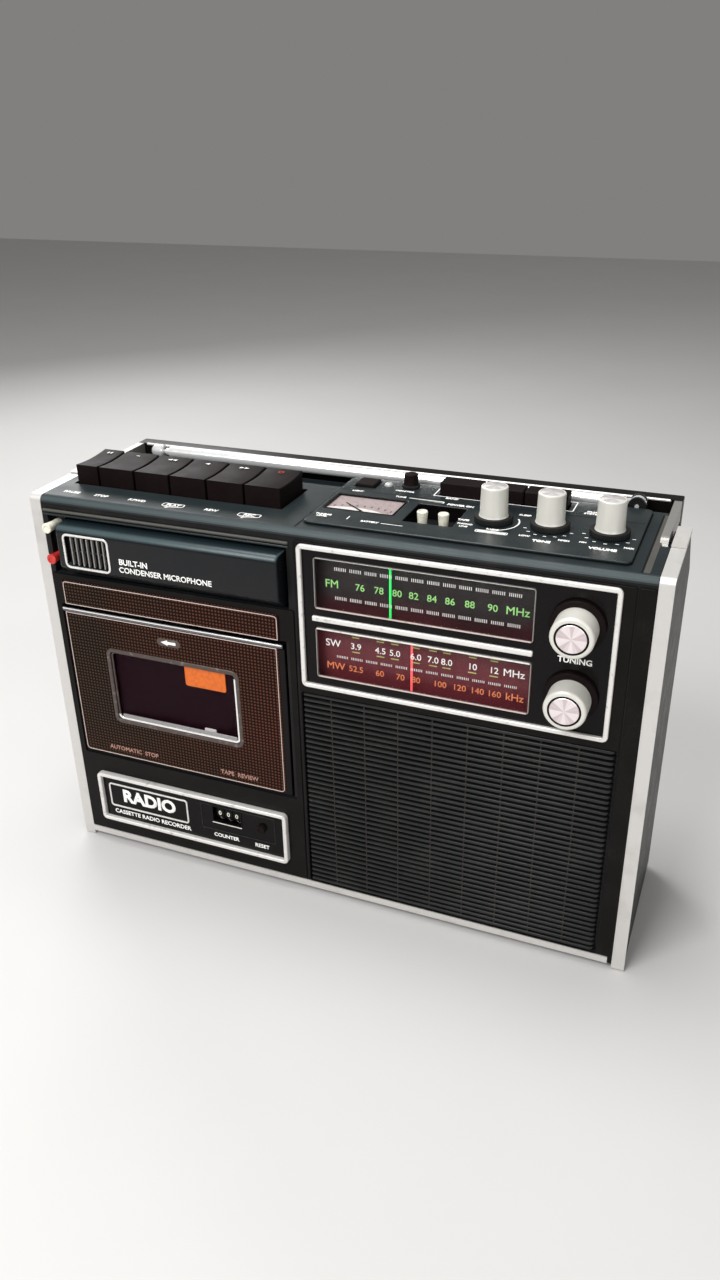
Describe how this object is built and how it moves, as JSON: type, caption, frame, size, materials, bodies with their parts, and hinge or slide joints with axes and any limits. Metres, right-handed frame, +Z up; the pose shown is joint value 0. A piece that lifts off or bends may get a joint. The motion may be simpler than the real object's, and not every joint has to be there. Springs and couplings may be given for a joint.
{
  "type": "portable radio cassette recorder",
  "caption": "Portable radio cassette recorder with a louvred speaker, twin dial windows, front-loading cassette door, piano keys, detachable microphone and folding handle.",
  "frame": {"origin": "under the middle of the whole object, on the surface that its feet stand on", "axes": "+X to the listener's right along the front, +Y towards the back, +Z up"},
  "size_m": [0.37, 0.132, 0.269],
  "materials": {
    "cabinet": "pebbled black ABS",
    "panel": "satin blue-black ABS",
    "mic": "satin black ABS",
    "aluminium": "satin anodised",
    "chrome": "polished",
    "grille": "satin black ABS",
    "key": "glossy black ABS",
    "lens": "clear acrylic",
    "smoked": "smoked acrylic",
    "dial": "dark printed scale",
    "green": "green needle",
    "red": "red plastic",
    "white": "ivory plastic",
    "steel": "plated steel",
    "rubber": "black rubber",
    "board": "phenolic board",
    "paper": "pulp paper cone",
    "scale": "printed meter scale"
  },
  "bodies": {
    "chassis": {"front_cabinet": "cabinet", "rear_cabinet": "cabinet", "right_trim": "aluminium", "left_trim": "aluminium", "bottom_trim": "aluminium", "speaker_grille": "grille", "speaker_driver": "steel", "speaker_cone": "paper", "dial_bezel": "panel", "dial_lens": "lens", "dial_plate": "dial", "deck_plate": "steel", "drive_motor": "steel", "drive_belt": "rubber", "counter_panel": "panel", "key_shaft": "steel", "control_panel": "panel", "level_meter": "scale", "meter_lens": "lens", "main_board": "board"},
    "fm_tuning": {"fm_tuning_knob": "white"},
    "fm_pointer": {"fm_pointer": "green"},
    "am_tuning": {"am_tuning_knob": "white"},
    "am_pointer": {"am_pointer": "red"},
    "cassette_door": {"cassette_door": "panel", "door_window": "smoked", "cassette_holder": "steel"},
    "supply_spindle": {"supply_spindle": "white"},
    "takeup_spindle": {"takeup_spindle": "white"},
    "capstan": {"capstan_flywheel": "steel"},
    "motor_pulley": {"motor_pulley": "steel"},
    "pinch_roller": {"pinch_roller": "rubber"},
    "tape_head": {"tape_head": "steel"},
    "mic_unit": {"mic_unit": "mic"},
    "mic_eject_button": {"mic_eject_button": "white"},
    "mic_switch_button": {"mic_switch_button": "red"},
    "counter_wheels": {"counter_wheels": "white"},
    "counter_reset_button": {"counter_reset_button": "key"},
    "pause_key": {"pause_key": "key"},
    "stop_key": {"stop_key": "key"},
    "rewind_key": {"rewind_key": "key"},
    "play_key": {"play_key": "key"},
    "forward_key": {"forward_key": "key"},
    "record_key": {"record_key": "key"},
    "function_knob": {"function_knob": "white"},
    "tone_knob": {"tone_knob": "white"},
    "volume_knob": {"volume_knob": "white"},
    "monitor_knob": {"monitor_knob": "key"},
    "mode_lever": {"mode_lever": "white"},
    "afc_lever": {"afc_lever": "white"},
    "light_button": {"light_button": "key"},
    "mw_band_key": {"mw_band_key": "key"},
    "sw_band_key": {"sw_band_key": "key"},
    "fm_band_key": {"fm_band_key": "key"},
    "carry_handle": {"carry_handle": "key"},
    "aerial_outer": {"aerial_outer": "chrome"},
    "aerial_middle": {"aerial_middle": "chrome"},
    "aerial_inner": {"aerial_inner": "chrome"},
    "battery_door": {"battery_door": "cabinet"},
    "meter_needle": {"meter_needle": "red"}
  },
  "joints": [
    {"name": "fm_tuning_turn", "type": "hinge", "parent": "chassis", "child": "fm_tuning", "pos_m": [0.1415, -0.059, 0.217], "axis": [0, 1, 0], "range_deg": [-283.61, 704.74]},
    {"name": "fm_pointer_slide", "type": "slide", "parent": "chassis", "child": "fm_pointer", "axis": [1, 0, 0], "range_m": [-0.0298, 0.0739]},
    {"name": "am_tuning_turn", "type": "hinge", "parent": "chassis", "child": "am_tuning", "pos_m": [0.141, -0.059, 0.1763], "axis": [0, 1, 0], "range_deg": [-401.07, 587.28]},
    {"name": "am_pointer_slide", "type": "slide", "parent": "chassis", "child": "am_pointer", "axis": [1, 0, 0], "range_m": [-0.0421, 0.0616]},
    {"name": "cassette_door_turn", "type": "hinge", "parent": "chassis", "child": "cassette_door", "pos_m": [-0.097, -0.0468, 0.074], "axis": [1, 0, 0], "range_deg": [0, 38]},
    {"name": "supply_spindle_turn", "type": "hinge", "parent": "chassis", "child": "supply_spindle", "pos_m": [-0.119, -0.034, 0.133], "axis": [0, 1, 0], "continuous": true},
    {"name": "takeup_spindle_turn", "type": "hinge", "parent": "chassis", "child": "takeup_spindle", "pos_m": [-0.0765, -0.034, 0.133], "axis": [0, 1, 0], "continuous": true},
    {"name": "capstan_turn", "type": "hinge", "parent": "chassis", "child": "capstan", "pos_m": [-0.06475, -0.029, 0.1535], "axis": [0, 1, 0], "continuous": true},
    {"name": "motor_pulley_turn", "type": "hinge", "parent": "chassis", "child": "motor_pulley", "pos_m": [-0.145, -0.016, 0.095], "axis": [0, 1, 0], "continuous": true},
    {"name": "pinch_roller_turn", "type": "hinge", "parent": "chassis", "child": "pinch_roller", "pos_m": [-0.042, -0.029, 0.166], "axis": [0, -1, 0], "range_deg": [0, 14]},
    {"name": "tape_head_slide", "type": "slide", "parent": "chassis", "child": "tape_head", "axis": [0, 0, -1], "range_m": [0, 0.006]},
    {"name": "mic_unit_slide", "type": "slide", "parent": "chassis", "child": "mic_unit", "axis": [0, -1, 0], "range_m": [0, 0.025]},
    {"name": "mic_eject_button_slide", "type": "slide", "parent": "chassis", "child": "mic_eject_button", "axis": [0, 1, 0], "range_m": [0, 0.003], "stiffness_N_per_m": 250},
    {"name": "mic_switch_button_slide", "type": "slide", "parent": "chassis", "child": "mic_switch_button", "axis": [0, 1, 0], "range_m": [0, 0.003], "stiffness_N_per_m": 250},
    {"name": "counter_wheels_turn", "type": "hinge", "parent": "chassis", "child": "counter_wheels", "pos_m": [-0.0695, -0.0402, 0.0444], "axis": [1, 0, 0], "continuous": true},
    {"name": "counter_reset_button_slide", "type": "slide", "parent": "chassis", "child": "counter_reset_button", "axis": [0, 1, 0], "range_m": [0, 0.002], "stiffness_N_per_m": 250},
    {"name": "pause_key_turn", "type": "hinge", "parent": "chassis", "child": "pause_key", "pos_m": [-0.1, 0.017, 0.24], "axis": [1, 0, 0], "range_deg": [0, 8], "stiffness_Nm_per_rad": 1.5},
    {"name": "stop_key_turn", "type": "hinge", "parent": "chassis", "child": "stop_key", "pos_m": [-0.1, 0.017, 0.24], "axis": [1, 0, 0], "range_deg": [0, 8], "stiffness_Nm_per_rad": 1.5},
    {"name": "rewind_key_turn", "type": "hinge", "parent": "chassis", "child": "rewind_key", "pos_m": [-0.1, 0.017, 0.24], "axis": [1, 0, 0], "range_deg": [0, 8], "stiffness_Nm_per_rad": 1.5},
    {"name": "play_key_turn", "type": "hinge", "parent": "chassis", "child": "play_key", "pos_m": [-0.1, 0.017, 0.24], "axis": [1, 0, 0], "range_deg": [0, 8], "stiffness_Nm_per_rad": 1.5},
    {"name": "forward_key_turn", "type": "hinge", "parent": "chassis", "child": "forward_key", "pos_m": [-0.1, 0.017, 0.24], "axis": [1, 0, 0], "range_deg": [0, 8], "stiffness_Nm_per_rad": 1.5},
    {"name": "record_key_turn", "type": "hinge", "parent": "chassis", "child": "record_key", "pos_m": [-0.1, 0.017, 0.24], "axis": [1, 0, 0], "range_deg": [0, 8], "stiffness_Nm_per_rad": 1.5},
    {"name": "function_knob_turn", "type": "hinge", "parent": "chassis", "child": "function_knob", "pos_m": [0.085, -0.006, 0.255], "axis": [0, 0, -1], "range_deg": [-45, 45]},
    {"name": "tone_knob_turn", "type": "hinge", "parent": "chassis", "child": "tone_knob", "pos_m": [0.1155, -0.006, 0.255], "axis": [0, 0, -1], "range_deg": [-150, 150]},
    {"name": "volume_knob_turn", "type": "hinge", "parent": "chassis", "child": "volume_knob", "pos_m": [0.1465, -0.006, 0.255], "axis": [0, 0, -1], "range_deg": [-150, 150]},
    {"name": "monitor_knob_turn", "type": "hinge", "parent": "chassis", "child": "monitor_knob", "pos_m": [0.0255, 0.031, 0.252], "axis": [0, 0, -1], "range_deg": [-150, 150]},
    {"name": "mode_lever_turn", "type": "hinge", "parent": "chassis", "child": "mode_lever", "pos_m": [0.047, -0.012, 0.2385], "axis": [-1, 0, 0], "range_deg": [0, 30]},
    {"name": "afc_lever_turn", "type": "hinge", "parent": "chassis", "child": "afc_lever", "pos_m": [0.059, -0.012, 0.2385], "axis": [-1, 0, 0], "range_deg": [0, 30]},
    {"name": "light_button_slide", "type": "slide", "parent": "chassis", "child": "light_button", "axis": [0, 0, -1], "range_m": [0, 0.0015], "stiffness_N_per_m": 250},
    {"name": "mw_band_key_slide", "type": "slide", "parent": "chassis", "child": "mw_band_key", "axis": [0, 0, -1], "range_m": [0, 0.004]},
    {"name": "sw_band_key_slide", "type": "slide", "parent": "chassis", "child": "sw_band_key", "axis": [0, 0, -1], "range_m": [0, 0.004]},
    {"name": "fm_band_key_slide", "type": "slide", "parent": "chassis", "child": "fm_band_key", "axis": [0, 0, -1], "range_m": [0, 0.004]},
    {"name": "carry_handle_turn", "type": "hinge", "parent": "chassis", "child": "carry_handle", "pos_m": [0, 0.0015, 0.2435], "axis": [1, 0, 0], "range_deg": [0, 90]},
    {"name": "aerial_outer_turn", "type": "hinge", "parent": "chassis", "child": "aerial_outer", "pos_m": [0.153, 0.0468, 0.249], "axis": [0, 1, 0], "range_deg": [0, 90]},
    {"name": "aerial_middle_slide", "type": "slide", "parent": "aerial_outer", "child": "aerial_middle", "axis": [-1, 0, 0], "range_m": [0, 0.2405]},
    {"name": "aerial_inner_slide", "type": "slide", "parent": "aerial_middle", "child": "aerial_inner", "axis": [-1, 0, 0], "range_m": [0, 0.2205]},
    {"name": "battery_door_turn", "type": "hinge", "parent": "chassis", "child": "battery_door", "pos_m": [0.081, 0.0494, 0.0162], "axis": [-1, 0, 0], "range_deg": [0, 90]},
    {"name": "meter_needle_turn", "type": "hinge", "parent": "chassis", "child": "meter_needle", "pos_m": [0.01075, -0.013, 0.242], "axis": [0, 0, -1], "range_deg": [0, 80], "stiffness_Nm_per_rad": 0.0002}
  ],
  "couplings": [
    {"joint": "fm_pointer_slide", "follows": "fm_tuning_turn", "m_per_rad": 0.006},
    {"joint": "am_pointer_slide", "follows": "am_tuning_turn", "m_per_rad": 0.006},
    {"joint": "motor_pulley_turn", "follows": "capstan_turn", "ratio": 5.4},
    {"joint": "counter_wheels_turn", "follows": "takeup_spindle_turn", "ratio": -0.5},
    {"joint": "tape_head_slide", "follows": "play_key_turn", "m_per_rad": 0.04226},
    {"joint": "pinch_roller_turn", "follows": "play_key_turn", "ratio": 1.74},
    {"joint": "aerial_middle_slide", "follows": "aerial_outer_turn", "m_per_rad": 0.15279},
    {"joint": "aerial_inner_slide", "follows": "aerial_outer_turn", "m_per_rad": 0.14006}
  ]
}
